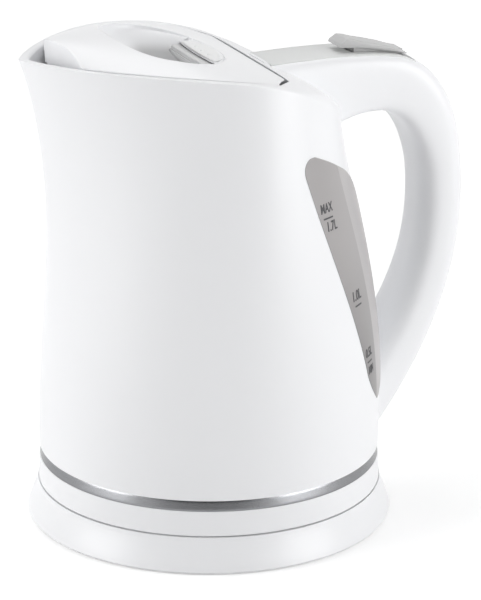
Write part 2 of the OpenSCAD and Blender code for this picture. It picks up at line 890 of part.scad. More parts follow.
slot_x1 = 68;
slot_x2 = 97;
slot_half_w = 5.8;
pocket_low_z = 197.4;
switch_top_z = 203.4;
switch_pivot = [88, 208];
switch_pin_r = 1.2;
switch_hub_r = 2.8;
switch_ear_t = 1.8;
lever_half_w = 7;

module switch_slot() {
    translate([slot_x1, -slot_half_w, pocket_low_z])
        cube([slot_x2 - slot_x1, 2 * slot_half_w, 40]);
}
module switch_axis(r, length) {
    translate([switch_pivot[0], 0, switch_pivot[1]])
        rotate([90, 0, 0]) cylinder(r = r, h = length, center = true, $fn = 48);
}

module handle_panel() {
    color(soft_grey)
        difference() {
            strip(handle_back, panel_start, panel_end, -panel_sink - panel_t, -panel_sink, panel_half_w);
            switch_slot();
        }
}

module steam_switch() {
    w = slot_half_w - 0.4;
    color(dark_grey)
        difference() {
            union() {
                translate([slot_x1 + 1, -w, pocket_low_z])
                    cube([slot_x2 - slot_x1 - 3, 2 * w, switch_top_z - pocket_low_z]);
                for (side = [-1, 1])
                    translate([switch_pivot[0] - 3, side * (w - switch_ear_t / 2) - switch_ear_t / 2, pocket_low_z])
                        cube([6, switch_ear_t, switch_pivot[1] - pocket_low_z + 3]);
            }
            switch_axis(switch_pin_r + pin_gap, 40);
        }
}

module switch_pin() {
    color("silver") switch_axis(switch_pin_r, 2 * slot_half_w - 1);
}

module switch_lever() {
    web_half_w = slot_half_w - 0.4 - switch_ear_t - gap;
    color("gray")
        difference() {
            union() {
                rotate([90, 0, 0])
                    linear_extrude(2 * lever_half_w, center = true)
                        polygon([
                            [61.4, 218.6], [62.2, 220], [65.4, 222], [68.5, 221.6], [73, 220.3],
                            [85.5, 217.3], [92.5, 215], [95.8, 213.3], [95.4, 212.7], [91, 214],
                            [76, 216.9], [62.2, 218.3]
                        ]);
                rotate([90, 0, 0])
                    linear_extrude(2 * web_half_w, center = true) {
                        polygon([[71, 214.4], [71, 218.4], [92, 214.8], [90.4, 207], [85, 207], [78, 210.9]]);
                        translate(switch_pivot) circle(r = switch_hub_r);
                    }
            }
            switch_axis(switch_pin_r + pin_gap, 40);
        }
}

// ---- Lid hinge on the jug ---------------------------------------------

module hinge_ears() {
    for (side = [-1, 1])
        translate([0, side * (knuckle_half + gap + ear_t / 2), 0])
            rotate([90, 0, 0])
                linear_extrude(ear_t, center = true) {
                    translate([hinge_x, hinge_z]) circle(r = ear_r);
                    polygon([
                        [hinge_x - ear_r, hinge_z], [hinge_x, hinge_z], [hinge_x + 0.5, hinge_z - 1.9],
                        [hinge_x + 1, hinge_z - 3.2], [hinge_x + 1, hinge_z - 4.9],
                        [seam_x + 2, hinge_z - 7.5], [seam_x + 2, hinge_z - 11],
                        [hinge_x, hinge_z - 9], [hinge_x - ear_r, hinge_z - 6]
                    ]);
                }
}
module hinge_pin() {
    color("silver")
        translate([hinge_x, 0, hinge_z])
            rotate([90, 0, 0])
                cylinder(r = pin_r, h = 2 * (knuckle_half + gap + ear_t), center = true, $fn = 48);
}

// ---- Jug --------------------------------------------------------------

duct_z = 198.4;
module jug() {
    color(shell_white)
        difference() {
            union() {
                difference() {
                    union() {
                        jug_outside();
                        handle_loop();
                    }
                    jug_chamber();
                }
                hinge_ears();
            }
            translate([-150, -150, jug_z - 50]) cube([300, 300, 50]);
            translate([0, 0, jug_z - 1]) cylinder(r = bore_r, h = bore_top_z - jug_z + 1);
            translate([0, 0, bore_top_z - 1]) cylinder(r = bore_r - ledge_w, h = ledge_h + 2);
            gauge_plate(wall + 3, -3, 0.1);
            mirror([0, 1, 0]) gauge_plate(wall + 3, -3, 0.1);
            strip(handle_back, panel_start, panel_end, -panel_sink - panel_t, 8, panel_half_w + 0.1);
            switch_slot();
            translate([18, -4, duct_z]) cube([slot_x1 - 17, 8, 5]);
            translate([hinge_x, 0, hinge_z])
                rotate([90, 0, 0]) cylinder(r = pin_r + pin_gap, h = 60, center = true, $fn = 48);
        }
}

base_shell();
base_bottom();
foot_ring();
base_screws();
base_socket();
base_contacts();
cord_outlet();
kettle_connector();
connector_contacts();
jug();
skirt();
trim_ring();
heater_plate();
heater_seal();
heater_element();
control_unit();
skirt_screws();
gauge_right();
gauge_left();
filter_frame();
filter_mesh();
handle_panel();
steam_switch();
switch_lever();
switch_pin();
hinge_pin();
lid_shell();
lid_inner();
lid_seal();
lid_latch();
lid_rest();
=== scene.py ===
import math

import bmesh
import bpy
import numpy as np
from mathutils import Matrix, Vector


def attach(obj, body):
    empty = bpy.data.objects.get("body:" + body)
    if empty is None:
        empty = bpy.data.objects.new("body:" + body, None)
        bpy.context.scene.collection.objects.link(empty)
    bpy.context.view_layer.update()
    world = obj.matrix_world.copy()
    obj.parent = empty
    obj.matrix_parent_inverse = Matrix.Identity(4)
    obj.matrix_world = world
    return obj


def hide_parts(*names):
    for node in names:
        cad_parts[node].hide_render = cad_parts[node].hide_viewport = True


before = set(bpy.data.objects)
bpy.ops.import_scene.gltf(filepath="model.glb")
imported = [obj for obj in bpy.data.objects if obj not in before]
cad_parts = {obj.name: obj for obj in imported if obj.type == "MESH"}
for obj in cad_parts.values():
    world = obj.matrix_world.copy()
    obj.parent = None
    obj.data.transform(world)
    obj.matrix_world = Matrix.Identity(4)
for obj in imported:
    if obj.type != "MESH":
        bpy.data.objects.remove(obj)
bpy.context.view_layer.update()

MM = 0.001

# ---- Sizes shared with the solids, in millimetres -------------------------

RING_R = 80.0
RIM_Z = 224.4
SPOUT = 90.0
REAR = 57.0
RIM_HALF_W = 67.6
WALL = 3.0
RIM_DROP = 7.6
SHOULDER_DROP = 12.0
HANDLE_REACH = 126.0
GRIP_HALF = 16.0
GRIP_T = 22.0
GAP_TOP = 187.9
JUG_Z = 33.8
BORE_R = RING_R - 2.7
BORE_TOP = 47.4
LEDGE_R = BORE_R - 2.2
CHAMBER_Z = 50.4
CROWN = 9.0
HINGE_X = 16.3
HINGE_Z = RIM_Z - RIM_DROP - 2.4
SLOT_LOW, SLOT_HIGH = (68, -5.8, 197.4), (97, 5.8, 237)


def mix(a, b, t):
    return a + (b - a) * t


def clamp01(t):
    return min(1.0, max(0.0, t))


def smooth(t):
    t = clamp01(t)
    return t * t * (3 - 2 * t)


def bezier(points, t):
    points = [np.asarray(p, float) for p in points]
    while len(points) > 1:
        points = [mix(a, b, t) for a, b in zip(points, points[1:])]
    return points[0]


def cosd(a):
    return math.cos(math.radians(a))


def sind(a):
    return math.sin(math.radians(a))


# ---- Curves of the jug ----------------------------------------------------

WIDTH = [RING_R * k for k in (1, 1.02, 0.98, 0.9125)] + [RIM_HALF_W]
BACK = [RING_R * k for k in (1, 1.006, 0.995, 0.64)] + [REAR]
FRONT = [RING_R * k for k in (1, 1, 0.963, 0.92)] + [SPOUT]


def rise(z):
    """The share of the jug's height at z."""
    return (z - JUG_Z) / (RIM_Z - JUG_Z)


def jug_point(a, z, inset=0.0):
    """A point of the jug's wall at angle a and height z, moved in by inset."""
    s = rise(z)
    b = smooth(s)
    half_w = float(bezier(WIDTH, s)) - inset
    rear = float(bezier(BACK, s)) - inset
    front = float(bezier(FRONT, s)) - inset * (1 + 0.6 * b)
    c = cosd(a)
    side = -1 if sind(a) < 0 else 1
    if c >= 0:
        return rear * c, half_w * sind(a)
    return front * c, side * half_w * max(0.0, 1 - (-c) ** (2 + 0.07 * b)) ** (0.5 + 0.35 * b)


def rim_height(x):
    """The rim's height, which falls from the spout to the hinge."""
    return RIM_Z - RIM_DROP * (max(0.0, x + 55) / (HINGE_X + 55)) ** 2


OPEN_X = -5.0
OPEN_FRONT = SPOUT - 8.5
OPEN_REAR = 26.0
OPEN_HALF_W = RIM_HALF_W - 6
SEAM_X = OPEN_X + OPEN_REAR
CORNER_POWER = 5
LEAF_POWER, LEAF_SHAPE = 2.07, 0.85


def mouth_reach(z):
    """How far the opening may reach toward the spout at z."""
    return min(OPEN_FRONT, float(bezier(FRONT, rise(min(z, RIM_Z)))) - 1.6 * WALL + OPEN_X)


def rear_limit(y):
    """The opening's rear edge, cut back at its corners."""
    return SEAM_X - 0.75 * max(0.0, abs(y) - 46)


def open_point(a, side_inset=0.0, rear_inset=0.0, reach=OPEN_FRONT):
    """A point of the opening's outline, seen from above."""
    c, s = cosd(a), sind(a)
    half_w = OPEN_HALF_W - side_inset
    if c >= 0:
        k = (abs(c) ** CORNER_POWER + abs(s) ** CORNER_POWER) ** (-1 / CORNER_POWER)
        x, y = OPEN_X + (OPEN_REAR - rear_inset) * c * k, half_w * s * k
        return min(x, rear_limit(y) - rear_inset), y
    side = -1 if s < 0 else 1
    y = side * half_w * max(0.0, 1 - (-c) ** LEAF_POWER) ** LEAF_SHAPE
    return OPEN_X + (reach - 1.5 * side_inset) * c, y


def open_width(x):
    """Half the opening's width at x."""
    if x > OPEN_X:
        share = ((x - OPEN_X) / OPEN_REAR) ** CORNER_POWER
        return OPEN_HALF_W * max(0.0, 1 - share) ** (1 / CORNER_POWER)
    return OPEN_HALF_W * max(0.0, 1 - ((OPEN_X - x) / OPEN_FRONT) ** LEAF_POWER) ** LEAF_SHAPE


def wall_top(a):
    """Where the outer wall ends and the shoulder begins."""
    x = jug_point(a, RIM_Z - 10)[0]
    return rim_height(x) - SHOULDER_DROP * (max(0.0, x + 5) / 62) ** 1.6


# ---- Mesh helpers ---------------------------------------------------------


def new_object(name, points, faces, material=None, angle=35):
    mesh = bpy.data.meshes.new(name)
    mesh.from_pydata([(p[0] * MM, p[1] * MM, p[2] * MM) for p in points], [], faces)
    mesh.validate()
    bm = bmesh.new()
    bm.from_mesh(mesh)
    bmesh.ops.recalc_face_normals(bm, faces=bm.faces)
    bm.to_mesh(mesh)
    bm.free()
    obj = bpy.data.objects.new(name, mesh)
    bpy.context.scene.collection.objects.link(obj)
    if material:
        mesh.materials.append(material)
    soften(obj, angle)
    return obj


def soften(obj, angle=35):
    obj.data.shade_smooth()
    obj.data.set_sharp_from_angle(angle=math.radians(angle))


def grid(rows, loop=False):
    """Points and faces of a sheet of closed rows; loop joins the last row to the first."""
    n = len(rows[0])
    points = [p for row in rows for p in row]
    faces = []
    count = len(rows)
    for k in range(count if loop else count - 1):
        for i in range(n):
            a, b = k * n + i, k * n + (i + 1) % n
            c, d = ((k + 1) % count) * n + (i + 1) % n, ((k + 1) % count) * n + i
            faces.append((a, b, c, d))
    return points, faces


def capped(rows):
    """A sheet like grid's, closed by fans to the middles of its first and last rows."""
    points, faces = grid(rows)
    n = len(rows[0])
    for row, start in ((rows[0], 0), (rows[-1], (len(rows) - 1) * n)):
        points.append(tuple(np.mean(np.array(row), axis=0)))
        hub = len(points) - 1
        faces += [(hub, start + i, start + (i + 1) % n) for i in range(n)]
    return points, faces


def apply_modifiers(obj):
    """Turns an object's modifiers into plain mesh."""
    graph = bpy.context.evaluated_depsgraph_get()
    mesh = bpy.data.meshes.new_from_object(obj.evaluated_get(graph))
    old = obj.data
    obj.modifiers.clear()
    obj.data = mesh
    bpy.data.meshes.remove(old)


def combine(obj, other, operation):
    """Adds, or takes away, another object, which is used up."""
    step = obj.modifiers.new("boolean", "BOOLEAN")
    step.operation = operation
    step.solver = "MANIFOLD"
    step.object = other
    bpy.context.view_layer.update()
    apply_modifiers(obj)
    old = other.data
    bpy.data.objects.remove(other)
    bpy.data.meshes.remove(old)


def bevel(obj, width, segments=3, angle=35):
    step = obj.modifiers.new("bevel", "BEVEL")
    step.width = width * MM
    step.segments = segments
    step.limit_method = "ANGLE"
    step.angle_limit = math.radians(angle)
    bpy.context.view_layer.update()
    apply_modifiers(obj)


def prism(name, outline, y1, y2, material=None):
    """A solid from an outline in the XZ plane, between two values of Y."""
    n = len(outline)
    points = [(x, y1, z) for x, z in outline] + [(x, y2, z) for x, z in outline]
    faces = [tuple(range(n)), tuple(range(2 * n - 1, n - 1, -1))]
    faces += [(i, (i + 1) % n, n + (i + 1) % n, n + i) for i in range(n)]
    return new_object(name, points, faces, material)


def block(name, low, high):
    (x1, y1, z1), (x2, y2, z2) = low, high
    return prism(name, [(x1, z1), (x2, z1), (x2, z2), (x1, z2)], y1, y2)


# ---- Materials ------------------------------------------------------------


def add_node(tree, kind, inputs=None, operation=None):
    """A shader node. Each input is given a value, or the output that it is linked to."""
    node = tree.nodes.new("ShaderNode" + kind)
    if operation:
        node.operation = operation
    for key, value in (inputs or {}).items():
        if isinstance(value, bpy.types.NodeSocket):
            tree.links.new(value, node.inputs[key])
        else:
            node.inputs[key].default_value = value
    return node


def map_range(tree, value, source, target, kind="SMOOTHSTEP"):
    """Maps a value from one pair of limits to another."""
    node = add_node(tree, "MapRange", {
        "Value": value,
        "From Min": source[0], "From Max": source[1],
        "To Min": target[0], "To Max": target[1],
    })
    node.interpolation_type = kind
    return node.outputs["Result"]


def noise(tree, place, scale, detail):
    inputs = {"Vector": place, "Scale": scale, "Detail": detail}
    return add_node(tree, "TexNoise", inputs).outputs["Fac"]


def plastic(name, color, rough=0.3, coat=0.0, grain=0.02, scale=900.0, tint=0.02):
    """Moulded plastic: faint shade changes, uneven gloss and a fine moulded grain."""
    material = bpy.data.materials.new(name)
    material.use_nodes = True
    tree = material.node_tree
    shader = tree.nodes["Principled BSDF"]
    shader.inputs["IOR"].default_value = 1.5
    shader.inputs["Coat Weight"].default_value = coat
    shader.inputs["Coat Roughness"].default_value = 0.32
    place = add_node(tree, "TexCoord").outputs["Object"]
    ramp = add_node(tree, "ValToRGB", {"Fac": noise(tree, place, 14, 3)})
    ramp.color_ramp.elements[0].color = tuple(max(0, c - tint) for c in color) + (1,)
    ramp.color_ramp.elements[1].color = tuple(min(1, c + tint / 2) for c in color) + (1,)
    fine = noise(tree, place, 90, 4)
    gloss = map_range(tree, fine, (0, 1), (rough * 0.92, rough * 1.1), "LINEAR")
    pores = noise(tree, place, scale, 2)
    bump = add_node(tree, "Bump", {"Strength": grain, "Distance": 0.0003, "Height": pores})
    tree.links.new(ramp.outputs["Color"], shader.inputs["Base Color"])
    tree.links.new(gloss, shader.inputs["Roughness"])
    tree.links.new(bump.outputs["Normal"], shader.inputs["Normal"])
    return material


def metal(name, color, rough=0.25, brushed=0.0, stretch=(1, 1, 60)):
    """Metal with a fine brushed grain."""
    material = plastic(name, color, rough, grain=brushed, scale=220.0, tint=0.03)
    tree = material.node_tree
    tree.nodes["Principled BSDF"].inputs["Metallic"].default_value = 1.0
    place = tree.nodes["Texture Coordinate"].outputs["Object"]
    turn = add_node(tree, "Mapping", {"Vector": place, "Scale": stretch})
    tree.links.new(turn.outputs["Vector"], tree.nodes["Noise Texture.002"].inputs["Vector"])
    return material


def shade_by(material, axis, low, high, factor, centre=None, reach=None, edge=(1.0, 0.7)):
    """Paints shade on a plastic: darkens it along one axis, and only within an ellipse if one is
    given.
    """
    tree = material.node_tree
    place = tree.nodes["Texture Coordinate"].outputs["Object"]
    split = add_node(tree, "SeparateXYZ", {0: place})
    share = map_range(tree, split.outputs[axis], (low * MM, high * MM), (0, 1))
    if centre:
        shift = (centre[0] * MM, centre[1] * MM, 0)
        shrink = (1 / (reach[0] * MM), 1 / (reach[1] * MM), 0)
        move = add_node(tree, "VectorMath", {0: place, 1: shift}, "SUBTRACT")
        fit = add_node(tree, "VectorMath", {0: move.outputs[0], 1: shrink}, "MULTIPLY")
        far = add_node(tree, "VectorMath", {0: fit.outputs[0]}, "LENGTH")
        inside = map_range(tree, far.outputs["Value"], edge, (0, 1))
        share = add_node(tree, "Math", {0: share, 1: inside}, "MULTIPLY").outputs[0]
    strength = map_range(tree, share, (0, 1), (1.0, factor), "LINEAR")
    plain = tree.nodes["Color Ramp"].outputs["Color"]
    dim = add_node(tree, "VectorMath", {0: plain, "Scale": strength}, "SCALE")
    tree.links.new(dim.outputs[0], tree.nodes["Principled BSDF"].inputs["Base Color"])


GLOSS_WHITE = {
    "color": (0.86, 0.865, 0.88), "rough": 0.36, "coat": 0.12, "grain": 0.008, "tint": 0.006,
}
WHITE = plastic("white_plastic", **GLOSS_WHITE)
WHITE_MATT = plastic("white_moulding", (0.82, 0.823, 0.835), 0.42, grain=0.03, tint=0.008)
WINDOW = plastic("window_plastic", (0.345, 0.33, 0.33), 0.36, coat=0.2, grain=0.01, tint=0.01)
# Painted highlight: a lighter copy of the window's colour, for the facet behind the crease.
WINDOW_PAINTED_HIGHLIGHT = plastic("window_painted_highlight", (0.44, 0.425, 0.425), 0.34, coat=0.2, grain=0.01, tint=0.01)
PANEL = plastic("panel_plastic", (0.69, 0.7, 0.695), 0.4, grain=0.04, tint=0.01)
REST = plastic("rest_plastic", (0.84, 0.845, 0.845), 0.4, grain=0.03, tint=0.01)
GREY = plastic("grey_plastic", (0.42, 0.42, 0.42), 0.42, grain=0.05, tint=0.01)
LEVER = plastic("lever_plastic", (0.5, 0.5, 0.5), 0.36, grain=0.04, tint=0.01)
TAB = plastic("tab_plastic", (0.66, 0.66, 0.66), 0.34, grain=0.04, tint=0.01)
DARK = plastic("dark_plastic", (0.05, 0.05, 0.052), 0.5, grain=0.08, tint=0.008)
RUBBER = plastic("rubber", (0.3, 0.3, 0.3), 0.7, grain=0.1, tint=0.015)
# A copy of the gloss white that carries painted shade inside the well.
WELL_PAINTED_SHADE = plastic("well_painted_shade", **GLOSS_WHITE)
# Painted shade: the window is darkened towards the bottom, where shade falls on it.
shade_by(WINDOW, "Z", 150, 70, 0.6)
INK = plastic("scale_ink", (0.06, 0.06, 0.065), 0.5, grain=0.02, tint=0.004)
STEEL = metal("brushed_steel", (0.55, 0.555, 0.57), 0.3, 0.12, (1, 1, 80))
CHROME = metal("trim_metal", (0.26, 0.264, 0.274), 0.24, 0.05, (1, 1, 120))
BRASS = metal("contact_brass", (0.7, 0.52, 0.24), 0.3, 0.1)

# Painted shade: the well's steep end, where the latch is, is darkened to stand in for the shade
# that falls there.
shade_by(WELL_PAINTED_SHADE, "X", -34, -21, 0.38, (-22.8, 0), (26.2, 41.0), (1.0, 0.6))

# ---- Jug and handle -------------------------------------------------------

COLUMNS = 240
ANGLES = [i * 360 / COLUMNS for i in range(COLUMNS)]
# Rows of a profile: those of the outer wall, and the stretch over the rim that is rounded.
WALL_ROWS = 84
RIM_FIRST, RIM_LAST = 86, 112
SHOULDER_ARC = (0, 6, 12, 20, 29, 38, 47, 56, 64, 72, 79, 84, 87, 90)
BORE_STEPS = [
    (LEDGE_R, CHAMBER_Z), (LEDGE_R, BORE_TOP), (BORE_R, BORE_TOP), (BORE_R, 38), (BORE_R, JUG_Z),
]


def jug_profile(a):
    """From the outer foot of the wall, up over the rim and down the inside."""
    top = wall_top(a)
    p1 = jug_point(a, top)
    p2 = open_point(a)
    z2 = rim_height(p2[0])
    heights = list(np.linspace(JUG_Z, top - 6, WALL_ROWS))
    heights += [top - d for d in (4, 2.6, 1.6, 1, 0.6, 0.3)]
    line = [(*jug_point(a, z), z) for z in heights]
    bend = 1 + 0.65 * clamp01(p1[0] / REAR)
    for t in SHOULDER_ARC:
        u, v = 1 - cosd(t) ** bend if t < 90 else 1, sind(t) ** bend
        line.append((mix(p1[0], p2[0], u), mix(p1[1], p2[1], u), mix(top, z2, v)))
    for d in (0.3, 0.6, 1, 1.6, 2.6, 4.5, 7.5, 11, 15):
        p = open_point(a, 0, 0, mouth_reach(RIM_Z - d))
        line.append((*p, rim_height(p[0]) - d))
    low = min(top, z2) - 30
    for z in np.linspace(low, CHAMBER_Z, 36):
        line.append((*jug_point(a, z, WALL), z))
    for r, z in BORE_STEPS:
        line.append((r * cosd(a), r * sind(a), z))
    return np.array(line)


def round_corners(line, first, last, times):
    """Evens out the bends between two places of a line."""
    line = line.copy()
    for _ in range(times):
        inner = line[first:last]
        before, after = line[first - 1 : last - 1], line[first + 1 : last + 1]
        line[first:last] = inner * 0.5 + (before + after) * 0.25
    return line


def build_jug_shell():
    profiles = [round_corners(jug_profile(a), RIM_FIRST, RIM_LAST, 2) for a in ANGLES]
    rows = [[tuple(p[k]) for p in profiles] for k in range(len(profiles[0]))]
    return new_object("jug_skin", *grid(rows, loop=True))


BACK_X = HANDLE_REACH - 1
BACK_TOP, BACK_OUT = (90, RIM_Z - 10.5), (BACK_X, RIM_Z - 80)
HANDLE_BACK = [
    [(SEAM_X + 2.4, RIM_Z - 9), (48, RIM_Z - 7.6), (72, RIM_Z - 7.2), BACK_TOP],
    [BACK_TOP, (HANDLE_REACH - 12, RIM_Z - 17), (BACK_X, RIM_Z - 42), BACK_OUT],
    [BACK_OUT, (BACK_X, 112.4), (HANDLE_REACH - 11, 74.4), (80, 30.4)],
]
INNER_X = BACK_X - GRIP_T
INNER_TOP, INNER_OUT = (78, GAP_TOP), (INNER_X, GAP_TOP - 45)
HANDLE_INNER = [
    [(30, GAP_TOP - 24), (50, GAP_TOP - 7), (64, GAP_TOP), INNER_TOP],
    [INNER_TOP, (INNER_X - 8, GAP_TOP), (INNER_X, GAP_TOP - 19), INNER_OUT],
    [INNER_OUT, (INNER_X, 118.4), (INNER_X - 6, 94.4), (68, 56.4)],
]
HANDLE_STEPS = 150
HOLLOW_STEPS = 45
PANEL_HALF_W = 13
PANEL_SEAT = -2.1


def along(chain, t):
    """A point of a chain of curves, one for each unit of t."""
    i = max(0, min(len(chain) - 1, int(t)))
    return bezier(chain[i], t - i)


def handle_ring(t, sides=72):
    """The grip's rounded section between its inner and outer curves."""
    p, q = along(HANDLE_INNER, t), along(HANDLE_BACK, t)
    middle, arm = (p + q) / 2, (q - p) / 2
    power = 2 / mix(5.5, 2.8, clamp01((t - 1) / 0.8))
    half_w = GRIP_HALF
    if t < 1:
        half_w += 1.5 * (1 - t)
    if t > 2:
        half_w += 4 * (t - 2) ** 2
    ring = []
    for i in range(sides):
        a = i * 360 / sides
        c, s = cosd(a), sind(a)
        u, v = math.copysign(abs(c) ** power, c), math.copysign(abs(s) ** power, s)
        ring.append((middle[0] + arm[0] * u, -half_w * v, middle[1] + arm[1] * u))
    return ring


def square_to(chain, t):
    """The direction square to a chain at t, out of the handle."""
    d = along(chain, t + 0.01) - along(chain, t - 0.01)
    d = d / np.linalg.norm(d)
    return np.array([-d[1], d[0]])


def strip_outline(chain, t1, t2, low, high, steps=40):
    """The outline of a strip along a chain, between two distances from it."""
    line = np.linspace(t1, t2, steps + 1)
    upper = [along(chain, t) + high * square_to(chain, t) for t in line]
    lower = [along(chain, t) + low * square_to(chain, t) for t in line[::-1]]
    return [tuple(p) for p in upper + lower]


def hollow_rows(grow):
    """The jug's hollow, grown a little into its wall, from under its base to over its rim."""
    rows = []
    for k in range(HOLLOW_STEPS + 1):
        row = []
        for a in ANGLES:
            p = open_point(a)
            z = mix(JUG_Z + 2, min(wall_top(a), rim_height(p[0])) - 30, k / HOLLOW_STEPS)
            row.append((*jug_point(a, z, WALL - grow), z))
        rows.append(row)
    for drop in (15, 11, 7.5, 4.5, 2, 0, -20):
        row = []
        for a in ANGLES:
            p = open_point(a, -grow, -grow, mouth_reach(RIM_Z - max(0, drop)))
            row.append((*p, rim_height(p[0]) - drop))
        rows.append(row)
    return rows


def build_jug():
    jug = build_jug_shell()
    rings = [handle_ring(3 * k / HANDLE_STEPS) for k in range(HANDLE_STEPS + 1)]
    handle = new_object("handle", *capped(rings))
    core = new_object("core", *capped(hollow_rows(0.6)))
    combine(handle, core, "DIFFERENCE")
    foot = block("foot", (-150, -150, 0), (150, 150, JUG_Z))
    combine(handle, foot, "DIFFERENCE")
    combine(jug, handle, "UNION")
    seat_w = PANEL_HALF_W + 0.1
    outline = strip_outline(HANDLE_BACK, 0.02, 1.12, PANEL_SEAT, 8)
    combine(jug, prism("pocket", outline, -seat_w, seat_w), "DIFFERENCE")
    slot = block("slot", SLOT_LOW, SLOT_HIGH)
    combine(jug, slot, "DIFFERENCE")
    jug.data.materials.clear()
    jug.data.materials.append(WHITE)
    soften(jug, 32)
    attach(jug, "kettle")
    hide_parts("jug")
    return jug


build_jug()


def fitted(obj, node, body, material):
    """Gives a mesh its material and puts it in the place of a node's solid."""
    obj.data.materials.clear()
    obj.data.materials.append(material)
    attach(obj, body)
    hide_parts(node)


panel_outline = strip_outline(HANDLE_BACK, 0.025, 1.115, PANEL_SEAT, -0.5)
panel = prism("handle_top_panel", panel_outline, -PANEL_HALF_W, PANEL_HALF_W)
combine(panel, block("slot_cut", SLOT_LOW, SLOT_HIGH), "DIFFERENCE")
bevel(panel, 0.35, 2, 40)
soften(panel)
fitted(panel, "handle_panel", "kettle", PANEL)

# ---- Gauges ---------------------------------------------------------------

GAUGE_LOW, GAUGE_HIGH = 59.9, 185.4
GAUGE_ROWS = 140
WINDOW_STEPS, STRIPE_STEPS = 14, 10
GAUGE_COLUMNS = 2 * (WINDOW_STEPS + STRIPE_STEPS + 1)


def gauge_left(s):
    """The angle of the window's front edge, at share s of its height."""
    corner = clamp01((s - 0.93) / 0.07)
    return -39.9 - 33.9 * s + 6 * (1 - min(1, s / 0.14)) ** 2 + 7.2 * (1 - math.sqrt(1 - corner**2))


def gauge_right(s):
    """The angle of the window's rear edge."""
    return -33 + 10 * sind(90 * min(1, s / 0.25)) - 42 * max(0, (s - 0.6) / 0.4) ** 2.85


def gauge_crease(z):
    """The angle of the window's crease at height z, which leans forward further up."""
    up = max(0.0, z - 70)
    return -34.3 - 0.05 * up - 0.00075 * up**2


def build_gauge(name, node, side):
    """A smoked window with a crease, behind which it stands out a little more; the faces there take
    a lighter copy of its colour, a painted highlight.
    """
    rows = []
    for k in range(GAUGE_ROWS + 1):
        s = (1 - cosd(180 * k / GAUGE_ROWS)) / 2
        z = mix(GAUGE_LOW, GAUGE_HIGH, s)
        a1, a2 = gauge_left(s), gauge_right(s)
        crease = min(a2 - 0.5, max(a1 + 0.5, gauge_crease(z)))
        angles = [mix(a1, crease, i / WINDOW_STEPS) for i in range(WINDOW_STEPS)]
        angles += [mix(crease, a2, i / STRIPE_STEPS) for i in range(STRIPE_STEPS + 1)]
        top, bottom = [], []
        for a in angles:
            lift = 0.2 if a <= crease else 0.2 + 0.9 * (a - crease) / max(4, a2 - crease)
            top.append((*jug_point(a, z, -lift), z))
            bottom.append((*jug_point(a, z, 1.2), z))
        row = top + bottom[::-1]
        rows.append([(x, y * side, z) for x, y, z in row])
    obj = new_object(name, *capped(rows))
    fitted(obj, node, "kettle", WINDOW)
    # The faces behind the crease take the painted highlight.
    obj.data.materials.append(WINDOW_PAINTED_HIGHLIGHT)
    for k in range(GAUGE_ROWS):
        for i in range(WINDOW_STEPS, WINDOW_STEPS + STRIPE_STEPS):
            obj.data.polygons[k * GAUGE_COLUMNS + i].material_index = 1
    return obj


build_gauge("gauge_near", "gauge_right", 1)
build_gauge("gauge_far", "gauge_left", -1)


def surface(a, z, lift, side):
    """A point of the jug's skin at angle a; side -1 is the near side."""
    x, y = jug_point(-abs(a), z, -lift)
    return x, y * (1 if side < 0 else -1), z


INK_LOW, INK_HIGH = 0.24, 0.34


def mark(name, outline_mesh, a0, z0, side):
    """Wraps a flat mesh, in millimetres about its middle, on the gauge."""
    points = []
    step = np.array(surface(a0 + 0.5, z0, 0, -1)) - np.array(surface(a0 - 0.5, z0, 0, -1))
    per_degree = float(np.linalg.norm(step))
    for v in outline_mesh.vertices:
        across = v.co.x / per_degree * (1 if side < 0 else -1)
        lift = INK_LOW if v.co.z < 0 else INK_HIGH
        points.append(surface(a0 + across, z0 + v.co.y, lift, side))
    faces = [tuple(p.vertices) for p in outline_mesh.polygons]
    obj = new_object(name, points, faces, INK)
    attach(obj, "kettle")
    return obj


CAPITAL_SHARE = 0.7


def text_mesh(body, height, narrow):
    """Flat figures of a height in millimetres."""
    curve = bpy.data.curves.new("text", "FONT")
    curve.body = body
    curve.size = height / CAPITAL_SHARE
    curve.align_x = "CENTER"
    curve.align_y = "CENTER"
    curve.extrude = 0.05
    curve.offset = 0.02 * height
    holder = bpy.data.objects.new("text", curve)
    bpy.context.scene.collection.objects.link(holder)
    bpy.context.view_layer.update()
    graph = bpy.context.evaluated_depsgraph_get()
    mesh = bpy.data.meshes.new_from_object(holder.evaluated_get(graph))
    bpy.data.objects.remove(holder)
    for v in mesh.vertices:
        v.co.x *= narrow
    return mesh


def bar_mesh(width, height):
    """A flat line, in steps so that it bends round the window."""
    mesh = bpy.data.meshes.new("bar")
    n = 9
    xs = np.linspace(-width / 2, width / 2, n)
    points = [(x, y, z) for z in (-0.05, 0.05) for y in (-height / 2, height / 2) for x in xs]
    faces = []
    for i in range(n - 1):
        a, b, c, d = i, n + i, 2 * n + i, 3 * n + i
        faces += [(a, a + 1, b + 1, b), (c, d, d + 1, c + 1)]
        faces += [(a, c, c + 1, a + 1), (b, b + 1, d + 1, d)]
    faces += [(0, n, 3 * n, 2 * n), (n - 1, 3 * n - 1, 4 * n - 1, 2 * n - 1)]
    mesh.from_pydata(points, [], faces)
    return mesh


# Each mark's name, words, height, narrowing, angle and height on the jug.
MARKS = [
    ("max", "MAX", 4.3, 0.68, -61.4, 161.4),
    ("top", "1.7L", 4.4, 0.76, -59.4, 152.8),
    ("mid", "1.0L", 4.6, 0.85, -48.6, 116.4),
    ("low", "0.5L", 4.2, 0.8, -42.6, 86.6),
    ("min", "MIN", 3.8, 0.66, -41.2, 77.8),
]
TICKS = [("top", -61.0, 156.9, 7.0), ("mid", -48.0, 111.8, 6.4), ("low", -42.2, 82.2, 5.4)]
TICK_HEIGHT = 0.7
for side, word in ((-1, "near"), (1, "far")):
    for name, body, height, narrow, a, z in MARKS:
        mark(f"mark_{name}_{word}", text_mesh(body, height, narrow), a, z, side)
    for name, a, z, width in TICKS:
        mark(f"tick_{name}_{word}", bar_mesh(width, TICK_HEIGHT), a, z, side)

# ---- Lid ------------------------------------------------------------------

